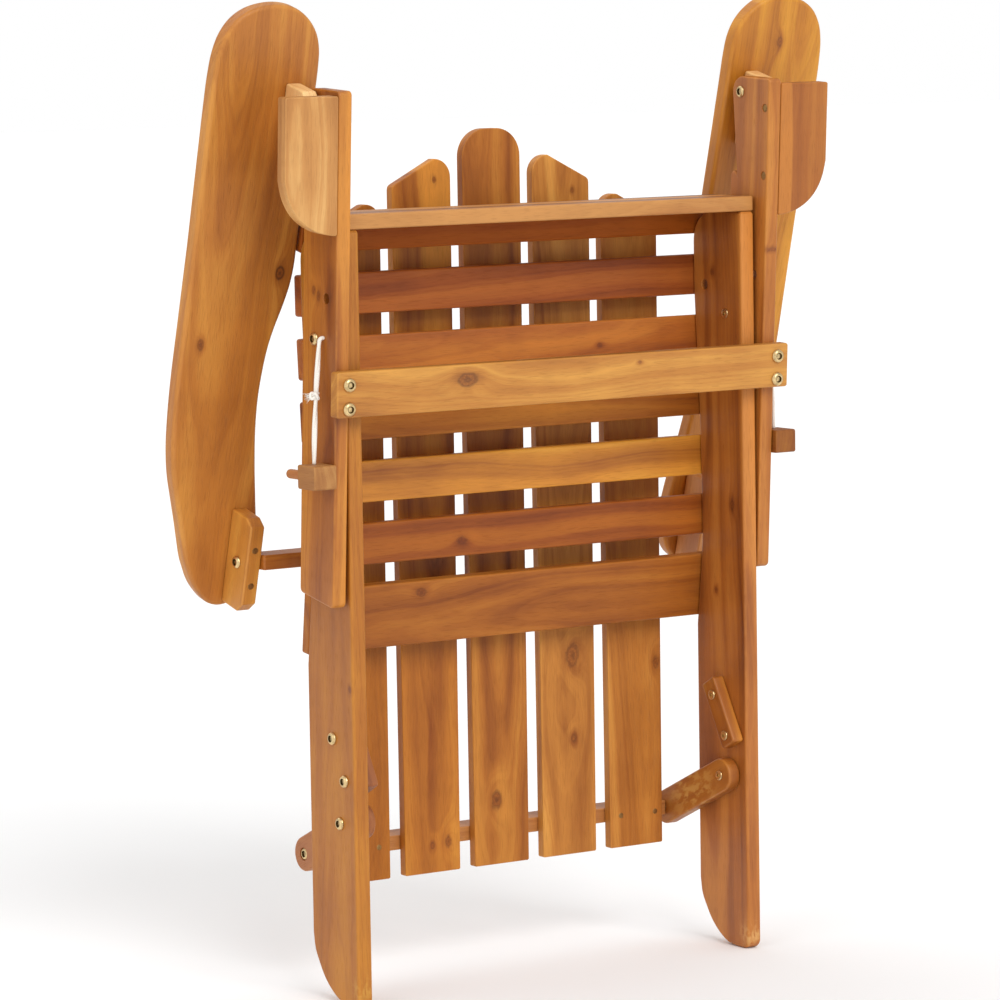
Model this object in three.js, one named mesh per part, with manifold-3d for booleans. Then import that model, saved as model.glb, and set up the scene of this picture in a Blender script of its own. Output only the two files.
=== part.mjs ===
// Folding adirondack chair, shown folded flat and standing on the rear ends of its side rails.
// Millimetres, +Z up along the side rails, +X to the chair's left-hand arm as seen from the
// underside, +Y towards the seat side. Sections are given in the side plane (y, z).
import * as THREE from 'three';
import { mergeVertices } from 'three/addons/utils/BufferGeometryUtils.js';
import Module from 'manifold-3d';

const wasm = await Module();
wasm.setup();

// ---------------------------------------------------------------- driving dimensions (mm)
const GAP = 0.3;                 // gap kept between touching pieces
const EASE = 1.6;                // eased edge on boards
// pivots in the side plane, folded pose
const P1 = [30.4, 698.2];        // leg on side rail
const P2 = [26.2, 938.4];        // arm on leg
const P3 = [157.0, 457.5];       // arm on the backrest's arm rail
const P4 = [30.0, 191.0];        // link on side rail
const P5 = [135.5, 142.0];       // link on the backrest's lower rail
// side rails
const RAIL_OUT = 261.0, RAIL_T = 17.5, RAIL_W = 90.0, RAIL_TOP = 809.5;
const RAIL_IN = RAIL_OUT - RAIL_T;
// front apron
const APRON_T = 16.0, APRON_D = 76.0, CHAIR_TOP = 826.0;
// seat slats
const SLAT_HALF = 260.0, SLAT_T = 14.0, SLAT_H = 43.8, FRONT_SLAT_H = 37.5, REAR_SLAT_H = 69.0;
// legs
const LEG_IN = 264.3, LEG_T = 16.0, LEG_OUT = LEG_IN + LEG_T, LEG_TILT = 3.3;
const LEG_NEAR = -42.8, LEG_FAR = 24.6, LEG_TOPU = 257.0, LEG_FOOTU = -277.0, FOOT_CUT = 8.0;
// stretcher between the legs
const STR_HALF = 287.5, STR_T = 14.0, STR_U0 = -76.0, STR_U1 = -28.5;
// arm supports
const SUP_OUT = 343.5, SUP_T = 16.0;
// arms
const ARM_T = 18.0, ARM_DEPTH = 23.0;   // pivot line to the underside of the arm board
// arm cleats
const CLEAT_IN = 287.0, CLEAT_OUT = 304.0, CLEAT_FRONT_IN = 283.4, CLEAT_FRONT_OUT = 300.4;
// links and stop blocks
const LINK_OUT = 243.1, LINK_IN = 228.4, LINK_R = 18.5, OPEN_LINK_DEG = 28.9;
const BLOCK_IN = 228.5, BLOCK_OUT = 243.2, BLOCK_W = 24.1;
// backrest
const BACK_Y0 = 119.0, BACK_T = 11.5, BACK_Y1 = BACK_Y0 + BACK_T, BACK_Z0 = 106.5, BACK_PITCH = 89.6;
const CROSS_D = 36.0, CROSS_H = 16.0, CROSS_UP_HALF = 286.6, CROSS_LO_HALF = 228.0;
// locking pegs and their strings
const PEG_ANGLE_LEG = -29.5, PEG_ANGLE_RAIL = 51.5, PEG_RADIUS = 48.5, PEG_HOLE_R = 5.6, PEG_R = 5.0;
const STRING_R = 2.5, STRING_TOP = [13.0, 700.0];

// ---------------------------------------------------------------- materials
const wood = (c) => new THREE.MeshStandardMaterial({ color: c, roughness: 0.55, metalness: 0.0 });
const zinc = () => new THREE.MeshStandardMaterial({ color: 0xc9a766, roughness: 0.35, metalness: 1.0 });
const cotton = () => new THREE.MeshStandardMaterial({ color: 0xece6da, roughness: 0.95, metalness: 0.0 });

// ---------------------------------------------------------------- helpers
const group = new THREE.Group();
group.name = 'folding_adirondack_chair';

const D2R = Math.PI / 180;
// a frame: origin o and two in-plane axes; the board's depth runs along ex x ey
function frameOf(o, ex, ey) {
  const X = new THREE.Vector3(...ex), Y = new THREE.Vector3(...ey);
  const Z = new THREE.Vector3().crossVectors(X, Y);
  const m = new THREE.Matrix4().makeBasis(X, Y, Z);
  m.setPosition(new THREE.Vector3(...o));
  return m;
}
function extruded(pts, depth, frame, ease = EASE) {
  const shape = new THREE.Shape(pts.map((p) => new THREE.Vector2(p[0], p[1])));
  const g = new THREE.ExtrudeGeometry(shape, ease > 0
    ? { depth: depth - 2 * ease, bevelEnabled: true, bevelThickness: ease, bevelSize: ease, bevelOffset: -ease, bevelSegments: 1, curveSegments: 4 }
    : { depth, bevelEnabled: false, curveSegments: 4 });
  if (ease > 0) g.translate(0, 0, ease);
  g.applyMatrix4(frame);
  return g;
}
function clean(g) {
  const c = g.clone();
  c.deleteAttribute('normal');
  c.deleteAttribute('uv');
  return mergeVertices(c, 1e-4);
}
function toManifold(g) {
  const c = clean(g);
  return new wasm.Manifold(new wasm.Mesh({
    numProp: 3,
    vertProperties: new Float32Array(c.attributes.position.array),
    triVerts: new Uint32Array(c.index.array),
  }));
}
function fromManifold(m) {
  const mesh = m.getMesh();
  const g = new THREE.BufferGeometry();
  g.setAttribute('position', new THREE.BufferAttribute(new Float32Array(mesh.vertProperties), 3));
  g.setIndex(new THREE.BufferAttribute(new Uint32Array(mesh.triVerts), 1));
  return g;
}
function cut(g, cutters) {
  let m = toManifold(g);
  for (const c of cutters) m = m.subtract(toManifold(c));
  return fromManifold(m);
}
function union(list) {
  let m = toManifold(list[0]);
  for (const g of list.slice(1)) m = m.add(toManifold(g));
  return fromManifold(m);
}
function add(name, geometry, material) {
  const g = clean(geometry);
  g.computeVertexNormals();
  const mesh = new THREE.Mesh(g, material);
  mesh.name = name;
  group.add(mesh);
  return mesh;
}
// a turned solid: profile [[along, radius], ...] from one end of the axis to the other
function turned(o, dir, profile, n = 8) {
  const pts = profile.map(([a, r]) => new THREE.Vector2(Math.max(r, 0), a));
  const g = new THREE.LatheGeometry(pts, n);
  const q = new THREE.Quaternion().setFromUnitVectors(new THREE.Vector3(0, 1, 0), new THREE.Vector3(...dir).normalize());
  g.applyQuaternion(q);
  g.translate(...o);
  return g;
}
function bore(o, dir, a0, a1, r, n = 12) {
  return turned(o, dir, [[a0, 0], [a0, r], [a1, r], [a1, 0]], n);
}
// arc points in a plane, angles in degrees
function arc(cx, cy, r, a0, a1, n) {
  const out = [];
  for (let i = 0; i <= n; i++) {
    const a = (a0 + (a1 - a0) * i / n) * D2R;
    out.push([cx + r * Math.cos(a), cy + r * Math.sin(a)]);
  }
  return out;
}
// smooth open curve through points
function curve(pts, n) {
  const c = new THREE.CatmullRomCurve3(pts.map((p) => new THREE.Vector3(p[0], p[1], 0)), false, 'centripetal');
  return c.getPoints(n).map((p) => [p.x, p.y]);
}
function roundRect(x0, y0, x1, y1, r, n = 3) {
  return [
    ...arc(x1 - r, y0 + r, r, -90, 0, n), ...arc(x1 - r, y1 - r, r, 0, 90, n),
    ...arc(x0 + r, y1 - r, r, 90, 180, n), ...arc(x0 + r, y0 + r, r, 180, 270, n),
  ];
}
const SIDES = [['left', -1], ['right', 1]];
// a board whose outline lies in the side plane, between |x| = a and |x| = b on side s
function sideBoard(pts, a, b, s, origin = [0, 0], tiltDeg = 0, ease = EASE) {
  const c = Math.cos(tiltDeg * D2R), k = Math.sin(tiltDeg * D2R);
  const x0 = s > 0 ? a : -b;
  return extruded(pts, b - a, frameOf([x0, origin[0], origin[1]], [0, c, k], [0, -k, c]), ease);
}

// ---------------------------------------------------------------- leg and arm frames
const lc = Math.cos(LEG_TILT * D2R), ls = Math.sin(LEG_TILT * D2R);
const legV = [0, lc, ls], legU = [0, -ls, lc];
const legPt = (x, v, u) => [x, P1[0] + v * lc - u * ls, P1[1] + v * ls + u * lc];
const armLen = Math.hypot(P2[0] - P3[0], P2[1] - P3[1]);
const aU = [(P2[0] - P3[0]) / armLen, (P2[1] - P3[1]) / armLen];
const armU = [0, aU[0], aU[1]], armW = [0, -aU[1], aU[0]];
const armPt = (x, w, a) => [x, P3[0] + a * aU[0] - w * aU[1], P3[1] + a * aU[1] + w * aU[0]];

// ---------------------------------------------------------------- fasteners
// furniture bolt: cap head outside face a0, shank to a1, cap nut beyond a1
const boltProfile = (a1) => [[-3.2, 0], [-3.2, 4.6], [-1.4, 6.3], [0, 6.3], [0, 3.0], [a1, 3.0], [a1, 5.0], [a1 + 1.5, 4.2], [a1 + 1.5, 0]];
const at = (s, x, p) => [s * x, p[0], p[1]];
const SHANK = 3.45;

for (const [side, s] of SIDES) {
  // leg pivot: head on the leg's outer face, nut on the rail's inner face
  add(`bolt_leg_pivot_${side}`, turned(at(s, LEG_OUT + GAP, P1), [-s, 0, 0], boltProfile(LEG_OUT + GAP - RAIL_IN + GAP)), zinc());
  // arm pivot: head on the leg's inner face, nut on the cleat's outer face
  add(`bolt_arm_pivot_${side}`, turned(at(s, LEG_IN - GAP, P2), [s, 0, 0],
    [[-2.0, 0], [-2.0, 5.2], [-0.9, 6.3], [0, 6.3], [0, 3.0], [CLEAT_FRONT_OUT - LEG_IN + 2 * GAP, 3.0], [CLEAT_FRONT_OUT - LEG_IN + 2 * GAP, 6.0], [CLEAT_FRONT_OUT - LEG_IN + 2.4, 4.8], [CLEAT_FRONT_OUT - LEG_IN + 2.4, 0]]), zinc());
  // arm rail pivot: head on the cleat's outer face, shank in the end of the arm rail
  add(`bolt_arm_rail_${side}`, turned(at(s, CLEAT_OUT + GAP, P3), [-s, 0, 0],
    [[-3.2, 0], [-3.2, 4.6], [-1.4, 6.3], [0, 6.3], [0, 3.0], [44, 3.0], [44, 0]]), zinc());
  // link pivot: head on the rail's outer face, nut on the link's inner face
  add(`bolt_link_pivot_${side}`, turned(at(s, RAIL_OUT + GAP, P4), [-s, 0, 0], boltProfile(RAIL_OUT + GAP - LINK_IN + GAP)), zinc());
}

// ---------------------------------------------------------------- side rails
// stop block placed so that the opened link rests on it
const oc = Math.cos(OPEN_LINK_DEG * D2R), os = Math.sin(OPEN_LINK_DEG * D2R);
const blkD = [os, oc], blkN = [oc, -os];            // along the block, across it (towards the link)
const p4d = P4[0] * blkD[0] + P4[1] * blkD[1], p4n = P4[0] * blkN[0] + P4[1] * blkN[1];
const blkFar = p4n - LINK_R - 0.4, blkNear = blkFar - BLOCK_W;
const blkD0 = p4d + 23.0, blkD1 = blkD0 + 77.7;
const blkPt = (d, n) => [d * blkD[0] + n * blkN[0], d * blkD[1] + n * blkN[1]];
const blockBolts = [blkPt(blkD0 + 12, blkNear + 12), blkPt(blkD0 + 60, blkNear + 11)];
const polar = (deg) => [P1[0] + PEG_RADIUS * Math.sin(deg * D2R), P1[1] + PEG_RADIUS * Math.cos(deg * D2R)];
const pegHoleLeg = polar(PEG_ANGLE_LEG), pegHoleRail = polar(PEG_ANGLE_RAIL);

const railOutline = [
  ...arc(10, 10, 10, 180, 270, 3),
  ...curve([[25.8, 0], [40.6, 2.6], [53.8, 9.6], [68.4, 22.0], [78.2, 35.4], [86.6, 50.2], [90, 68]], 14),
  [90, 352], [80.6, 430.5], [79.0, 452], [79.0, 497], [79.5, 518], [80.5, 562], [81.2, 584], [83.7, 628],
  [84.8, 650], [87.6, 694], [88.8, 716], [89.4, 761], ...arc(54.4, 774.5, 35, 0, 90, 6), [4, RAIL_TOP], [0, RAIL_TOP - 4],
];
for (const [side, s] of SIDES) {
  const g = sideBoard(railOutline, RAIL_IN, RAIL_OUT, s);
  const holes = [bore(at(s, 0, P1), [s, 0, 0], 230, 270, SHANK), bore(at(s, 0, P4), [s, 0, 0], 230, 270, SHANK),
    bore(at(s, 0, pegHoleRail), [s, 0, 0], 230, 270, PEG_HOLE_R, 16)];
  for (const p of blockBolts) holes.push(bore(at(s, 0, p), [s, 0, 0], 220, 270, SHANK));
  add(`rail_${side}`, cut(g, holes), wood(s < 0 ? 0xc08146 : 0xb87438));
  blockBolts.forEach((p, i) => add(`bolt_stop_block_${side}_${i + 1}`, turned(at(s, RAIL_OUT + GAP, p), [-s, 0, 0], boltProfile(RAIL_OUT + GAP - BLOCK_IN + GAP)), zinc()));
  // stop block on the rail's inner face
  const bp = [[blkD0, blkFar], [blkD1, blkFar], [blkD1, blkNear], [blkD0, blkNear]].map(([d, n]) => blkPt(d, n));
  const bg = sideBoard(bp, BLOCK_IN, BLOCK_OUT, s, [0, 0], 0, 1.2);
  add(`stop_block_${side}`, cut(bg, blockBolts.map((p) => bore(at(s, 0, p), [s, 0, 0], 220, 250, SHANK))), wood(0xa9683a));
}

// ---------------------------------------------------------------- apron and seat slats
add('front_apron', extruded(roundRect(0, 0, APRON_D, APRON_T, 3), 2 * RAIL_OUT, frameOf([-RAIL_OUT, 0, CHAIR_TOP - APRON_T], [0, 1, 0], [0, 0, 1]), 1.2), wood(0xd9a066));
// slats: lower-edge point on the rails' far edge and the slope of that edge
const slatRows = [
  ['seat_slat_1', [88.8, 782.6], [79.7, 825.2], FRONT_SLAT_H],
  ['seat_slat_2', [88.8, 716.5], [89.4, 760.3], SLAT_H],
  ['seat_slat_3', [84.8, 650.5], [87.6, 694.3], SLAT_H],
  ['seat_slat_4', [81.2, 584.5], [83.7, 628.3], SLAT_H],
  ['seat_slat_5', [79.5, 518.4], [80.5, 562.2], SLAT_H],
  ['seat_slat_6', [79.0, 452.6], [79.0, 496.4], SLAT_H],
  ['seat_slat_rear', [88.8, 361.4], [80.6, 430.0], REAR_SLAT_H],
];
const slatTone = [0xa8622f, 0x96522a, 0x9e5a2c, 0x8f4d28, 0x9a5830, 0x94512a, 0xa9642f];
slatRows.forEach(([name, lo, hi, h], i) => {
  const L = Math.hypot(hi[0] - lo[0], hi[1] - lo[1]);
  const u = [(hi[0] - lo[0]) / L, (hi[1] - lo[1]) / L];      // up the slat's width
  const v = [u[1], -u[0]];                                   // away from the rails
  const o = [lo[0] + v[0] * (GAP + 0.1), lo[1] + v[1] * (GAP + 0.1)];
  const f = frameOf([-SLAT_HALF, o[0], o[1]], [0, v[0], v[1]], [0, u[0], u[1]]);
  add(name, extruded(roundRect(0, 0, SLAT_T, h, 3.2), 2 * SLAT_HALF, f, 1.2), wood(slatTone[i]));
});

// ---------------------------------------------------------------- legs
const cutTan = Math.tan(FOOT_CUT * D2R);
const footU = (v) => LEG_FOOTU + (v - LEG_NEAR) * cutTan;
const legOutline = [
  [LEG_NEAR, footU(LEG_NEAR) + 5], [LEG_NEAR + 5, footU(LEG_NEAR + 5)],
  [LEG_FAR - 8, footU(LEG_FAR - 8)], [LEG_FAR - 2.6, footU(LEG_FAR - 2.6) + 1.6], [LEG_FAR, footU(LEG_FAR) + 7],
  ...arc(LEG_FAR - 17, LEG_TOPU - 17, 17, 0, 90, 6), [LEG_NEAR + 5, LEG_TOPU], [LEG_NEAR, LEG_TOPU - 5],
];
const strBoltU = [-42.0, -67.0], strBoltX = 273.0;
const supScrews = [[-34.6, 225.0], [-34.6, 152.0]];
for (const [side, s] of SIDES) {
  const g = sideBoard(legOutline, LEG_IN, LEG_OUT, s, P1, LEG_TILT);
  const holes = [bore(at(s, 0, P1), [s, 0, 0], 250, 300, SHANK), bore(at(s, 0, P2), [s, 0, 0], 250, 300, SHANK),
    bore(at(s, 0, pegHoleLeg), [s, 0, 0], 250, 300, PEG_HOLE_R, 16)];
  strBoltU.forEach((u, i) => {
    const o = legPt(s * strBoltX, LEG_NEAR - GAP - STR_T - GAP, u);
    add(`bolt_stretcher_${side}_${i + 1}`, turned(o, legV, [[-3.2, 0], [-3.2, 5.4], [-1.4, 7.3], [0, 7.3], [0, 3.0], [46, 3.0], [46, 0]]), zinc());
    holes.push(bore(o, legV, 0, 46.5, SHANK));
  });
  supScrews.forEach(([v, u], i) => {
    const o = legPt(s * (LEG_IN + GAP), v, u);
    add(`screw_arm_support_${side}_${i + 1}`, turned(o, [s, 0, 0], [[0, 0], [0, 4.0], [2.6, 2.0], [38, 2.0], [38, 0]], 8), zinc());
    holes.push(turned(o, [s, 0, 0], [[-2, 0], [-2, 4.6], [0.2, 4.6], [3.0, 2.4], [40, 2.4], [40, 0]], 8));
  });
  add(`leg_${side}`, cut(g, holes), wood(s < 0 ? 0xc98a4c : 0xbd7c40));

  // arm support under the arm, flush with the leg's front edge
  const sup = [
    [LEG_OUT + GAP, 109.5], [288, 110.3], [303, 113.8], [315, 119.6], [325, 127.2], [333, 137], [339.5, 150.5], [SUP_OUT, 167],
    [SUP_OUT, 248], [SUP_OUT - 4, 252], [LEG_OUT + GAP, 252],
  ].map(([x, u]) => [s * x, u]);
  const sg = extruded(sup, SUP_T, frameOf(legPt(0, LEG_NEAR + SUP_T, 0), [1, 0, 0], legU), 1.4);
  add(`arm_support_${side}`, cut(sg, supScrews.map(([v, u]) => bore(legPt(0, v, u), [s, 0, 0], 270, LEG_IN + 39, 2.4, 10))), wood(s < 0 ? 0xe0aa70 : 0xa8643a));
}
// stretcher across the legs' near edges
{
  const g = extruded(roundRect(-STR_HALF, STR_U0, STR_HALF, STR_U1, 2.5, 2), STR_T, frameOf(legPt(0, LEG_NEAR - GAP, 0), [1, 0, 0], legU), 1.4);
  const holes = [];
  for (const s of [-1, 1]) for (const u of strBoltU) holes.push(bore(legPt(s * strBoltX, LEG_NEAR - GAP - STR_T - 2, u), legV, 0, 20, SHANK));
  add('leg_stretcher', cut(g, holes), wood(0xdfa466));
}

// ---------------------------------------------------------------- arms and cleats
const armInner = [[262, 345], ...curve([[262, 318], [264.4, 296], [270, 273], [277, 250], [282, 228], [285.2, 200], [286.4, 170], [284.6, 135], [280, 96], [274.5, 60], [269.6, 28], [267.4, 0], [268.6, -16.4]], 18),
  ...curve([[271.5, -31], [278.5, -44.6], [289.5, -54.2], [304, -58.1], [319, -54.2], [331.5, -43.2], [341.5, -30], [348.5, -15.5]], 10),
  ...curve([[353.5, -3.6], [358.5, 14], [365.5, 40], [373, 66], [380, 92], [384.5, 120], [387, 155], [388, 195]], 10)];
const armOutline = [...armInner, [387, 260], [386.5, 340], [386.5, 490],
  ...curve([[386, 520], [383.6, 546], [377.5, 566], [366, 582], [349, 592.5], [322, 597.5], [299, 594], [281.5, 583], [269.5, 568], [263.6, 551], [262, 532]], 18), [262, 500]];
const cleatRear = [[-ARM_DEPTH + GAP, -52], [9, -52], [19.5, -41], [19.5, 45], [8, 52], [-ARM_DEPTH + GAP, 52]];
const cleatFront = [[-ARM_DEPTH + GAP, armLen - 66], [9, armLen - 66], [19.5, armLen - 56], [19.5, armLen + 9], [10, armLen + 17], [-ARM_DEPTH + GAP, armLen + 17]];
for (const [side, s] of SIDES) {
  const o = armPt(0, -ARM_DEPTH - ARM_T, 0);
  const pts = armOutline.map(([x, a]) => [s * x, a]);
  add(`arm_${side}`, extruded(pts, ARM_T, frameOf(o, [1, 0, 0], armU), 2.0), wood(s < 0 ? 0xbb7a3a : 0xb9793c));
  const mk = (outline, inner, outer) => {
    // outline is (towards the seat underside, along the arm)
    const x0 = s > 0 ? inner : -outer;
    // the in-plane axes are armW reversed and armU, so that depth runs along +X
    const p = outline.map(([w, a]) => [-w, a]);
    return extruded(p, outer - inner, frameOf(armPt(x0, 0, 0), [0, -armW[1], -armW[2]], armU), 1.2);
  };
  add(`rear_cleat_${side}`, cut(mk(cleatRear, CLEAT_IN, CLEAT_OUT), [bore(at(s, 0, P3), [s, 0, 0], 270, 320, SHANK)]), wood(0xb5763a));
  add(`front_cleat_${side}`, cut(mk(cleatFront, CLEAT_FRONT_IN, CLEAT_FRONT_OUT), [bore(at(s, 0, P2), [s, 0, 0], 270, 320, SHANK)]), wood(0xdca76b));
}

// ---------------------------------------------------------------- links
for (const [side, s] of SIDES) {
  const dir = Math.atan2(P5[1] - P4[1], P5[0] - P4[0]) / D2R;
  const pts = [...arc(P5[0], P5[1], LINK_R, dir - 90, dir + 90, 8), ...arc(P4[0], P4[1], LINK_R, dir + 90, dir + 270, 8)];
  const g = sideBoard(pts, LINK_IN, LINK_OUT, s, [0, 0], 0, 1.2);
  const head = turned(at(s, LINK_OUT, P5), [-s, 0, 0], [[-1, 0], [-1, 6.9], [3.4, 6.9], [3.4, SHANK], [20, SHANK], [20, 0]], 12);
  add(`link_${side}`, cut(g, [bore(at(s, 0, P4), [s, 0, 0], 220, 250, SHANK), head]), wood(s < 0 ? 0x9c5a30 : 0xa56232));
  add(`bolt_link_end_${side}`, turned(at(s, LINK_OUT - GAP, P5), [-s, 0, 0], [[0, 0], [0, 5.4], [0.6, 6.3], [2.7, 6.3], [2.7, 3.0], [LINK_OUT - LINK_IN - 0.8, 3.0], [LINK_OUT - LINK_IN - 0.8, 0]]), zinc());
}

// ---------------------------------------------------------------- backrest
const topHalf = 37.1, lowHalf = 35.1;
// x of a slat edge at height z, so that the slats taper slightly towards the bottom
const edgeHalf = (z) => (z >= 770 ? topHalf : lowHalf + (topHalf - lowHalf) * (z - BACK_Z0) / (770 - BACK_Z0));
const backTone = [0xb8763c, 0xbb783c, 0xc98b4d, 0xb5722f, 0xc4803f];
for (let i = 0; i < 5; i++) {
  const k = i - 2, cx = k * BACK_PITCH, m = k < 0 ? -1 : 1;
  let top;
  if (k === 0) top = [...arc(topHalf - 30, 875, 30, 0, 90, 6), ...arc(-topHalf + 30, 875, 30, 90, 180, 6)];
  else if (Math.abs(k) === 1) top = [[topHalf, 843], [topHalf - 3, 848.4], ...arc(-topHalf + 20, 854.5, 20, 88, 180, 5)];
  else top = [[topHalf, 797], [topHalf - 3, 802.6], ...arc(-topHalf + 18, 811.2, 18, 75, 180, 5)];
  const pts = [[-lowHalf + 4, BACK_Z0], [lowHalf - 4, BACK_Z0], [lowHalf, BACK_Z0 + 4], ...top, [-lowHalf, BACK_Z0 + 4]]
    .map(([x, z]) => [cx + (m < 0 ? -x : x), z]);
  add(`back_slat_${i + 1}`, extruded(pts, BACK_T, frameOf([0, BACK_Y1, 0], [1, 0, 0], [0, 0, 1]), 1.6), wood(backTone[i]));
}
const cross = (half, zc) => extruded(roundRect(BACK_Y1 + GAP, zc - CROSS_H / 2, BACK_Y1 + GAP + CROSS_D, zc + CROSS_H / 2, 2.5, 2), 2 * half, frameOf([-half, 0, 0], [0, 1, 0], [0, 0, 1]), 1.2);
add('arm_rail_back', cut(cross(CROSS_UP_HALF, P3[1]), [-1, 1].map((s) => bore(at(s, 0, P3), [s, 0, 0], CLEAT_OUT - 44.5, 300, SHANK))), wood(0x9c5b30));
add('lower_rail_back', cross(CROSS_LO_HALF, P5[1]), wood(0xc99a50));

// ---------------------------------------------------------------- locking pegs on strings
for (const [side, s] of SIDES) {
  const px = 294.6, z0 = 545.5, z1 = 570.5, y0 = -9.5, y1 = 24.5;
  add(`peg_handle_${side}`, sideBoard(roundRect(y0, z0, y1, z1, 4, 3), 281.2, 308.0, s, [0, 0], 0, 2.0), wood(0xb98350));
  add(`peg_dowel_${side}`, turned([s * px, y1 + GAP, 557.6], [0, 1, 0], [[0, 0], [0, PEG_R], [35.0, PEG_R], [37.6, 3.6], [38.4, 0]], 14), wood(0xb06a40));
  const route = new THREE.CatmullRomCurve3([
    [LEG_OUT + GAP, STRING_TOP[1]], [LEG_OUT + 2.2, STRING_TOP[1] - 0.1], [LEG_OUT + 4.6, STRING_TOP[1] - 1.8], [286.0, 692], [287.2, 680], [289.6, 655], [291.6, 630], [293.4, 600], [px, z1 + GAP],
  ].map(([x, z]) => new THREE.Vector3(s * x, STRING_TOP[0], z)), false, 'centripetal');
  const oct = [];
  for (let i = 0; i < 8; i++) oct.push(new THREE.Vector2(STRING_R * Math.cos((i + 0.5) * Math.PI / 4), STRING_R * Math.sin((i + 0.5) * Math.PI / 4)));
  const tube = new THREE.ExtrudeGeometry(new THREE.Shape(oct), { steps: 16, extrudePath: route, bevelEnabled: false });
  const knot = turned([s * 292.6, 16.6, 636.4], [0, 0, 1], [[0, 0], [0.8, 3.6], [4.6, 5.8], [8.6, 4.0], [9.6, 0]], 8);
  add(`peg_string_${side}`, union([tube, knot]), cotton());
}

// origin at the centre of the base of the bounding box
const extent = new THREE.Box3().setFromObject(group);
group.position.set(0, -(extent.min.y + extent.max.y) / 2, -extent.min.z);

export default group;
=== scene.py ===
import bpy, math, random
import numpy as np
from mathutils import Vector, Matrix
from mathutils.geometry import tessellate_polygon


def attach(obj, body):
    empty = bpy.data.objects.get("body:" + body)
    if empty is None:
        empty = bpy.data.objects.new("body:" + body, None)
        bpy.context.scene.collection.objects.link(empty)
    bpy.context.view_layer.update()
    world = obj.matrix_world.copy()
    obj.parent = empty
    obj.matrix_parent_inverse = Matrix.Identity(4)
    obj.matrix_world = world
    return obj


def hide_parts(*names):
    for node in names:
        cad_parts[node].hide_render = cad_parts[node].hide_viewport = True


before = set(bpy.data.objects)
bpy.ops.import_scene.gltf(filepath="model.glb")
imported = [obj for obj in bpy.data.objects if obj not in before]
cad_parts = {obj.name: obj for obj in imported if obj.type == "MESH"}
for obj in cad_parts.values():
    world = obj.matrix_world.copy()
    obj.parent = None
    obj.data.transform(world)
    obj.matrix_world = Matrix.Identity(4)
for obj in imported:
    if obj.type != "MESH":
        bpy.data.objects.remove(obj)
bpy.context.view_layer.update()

# ------------------------------------------------------------------ dimensions (mm, as in the frame; SY moves y to the row frame)
SY = -91.618289
GAP = 0.3
P1, P2, P3, P4, P5 = (30.4, 698.2), (26.2, 938.4), (157.0, 457.5), (30.0, 191.0), (135.5, 142.0)
RAIL_OUT, RAIL_T, RAIL_TOP = 261.0, 17.5, 809.5
RAIL_IN = RAIL_OUT - RAIL_T
LEG_IN, LEG_T, LEG_TILT = 264.3, 16.0, 3.3
LEG_OUT = LEG_IN + LEG_T
LEG_NEAR, LEG_FAR, LEG_TOPU, LEG_FOOTU = -42.8, 24.6, 257.0, -277.0
D2R = math.pi / 180
SIDES = (("left", -1), ("right", 1))


def W(p):
    return Vector((p[0] / 1000.0, (p[1] + SY) / 1000.0, p[2] / 1000.0))


# ------------------------------------------------------------------ camera
cam_data = bpy.data.cameras.new("camera")
cam = bpy.data.objects.new("camera", cam_data)
bpy.context.scene.collection.objects.link(cam)
bpy.context.scene.camera = cam
az, el, roll = 33.5994651 * D2R, 6.01350517 * D2R, -0.92431051 * D2R
cd = Vector((-math.sin(az) * math.cos(el), -math.cos(az) * math.cos(el), math.sin(el)))
cf = -cd
cr_ = cf.cross(Vector((0, 0, 1))).normalized()
cu = cr_.cross(cf)
CR = cr_ * math.cos(roll) + cu * math.sin(roll)
CU = -cr_ * math.sin(roll) + cu * math.cos(roll)
rot = Matrix((CR, CU, -cf)).transposed()
cam.matrix_world = Matrix.Translation(W((-2848.12, -4174.19, 1047.08))) @ rot.to_4x4()
cam_data.sensor_fit = "HORIZONTAL"
cam_data.sensor_width = 36.0
cam_data.lens = 4796.46 / 1000 * 36.0
cam_data.clip_start, cam_data.clip_end = 0.1, 60.0


# ------------------------------------------------------------------ curves
def arc(cx, cy, r, a0, a1, n):
    return [(cx + r * math.cos((a0 + (a1 - a0) * i / n) * D2R), cy + r * math.sin((a0 + (a1 - a0) * i / n) * D2R)) for i in range(n + 1)]


def smooth(pts, per=6):
    p = [Vector(q) for q in pts]
    out = []
    for i in range(len(p) - 1):
        p1, p2 = p[i], p[i + 1]
        p0 = p[i - 1] if i > 0 else 2 * p1 - p2
        p3 = p[i + 2] if i + 2 < len(p) else 2 * p2 - p1
        a, b, c = (max((y - x).length ** 0.5, 1e-4) for x, y in ((p0, p1), (p1, p2), (p2, p3)))
        t1 = ((p1 - p0) / a - (p2 - p0) / (a + b) + (p2 - p1) / b) * b
        t2 = ((p2 - p1) / b - (p3 - p1) / (b + c) + (p3 - p2) / c) * b
        for k in range(per):
            t = k / per
            out.append((2 * t**3 - 3 * t**2 + 1) * p1 + (t**3 - 2 * t**2 + t) * t1 + (-2 * t**3 + 3 * t**2) * p2 + (t**3 - t**2) * t2)
    out.append(p[-1])
    return [tuple(v) for v in out]


def area2(pts):
    return sum(pts[i - 1][0] * pts[i][1] - pts[i][0] * pts[i - 1][1] for i in range(len(pts)))


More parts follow.
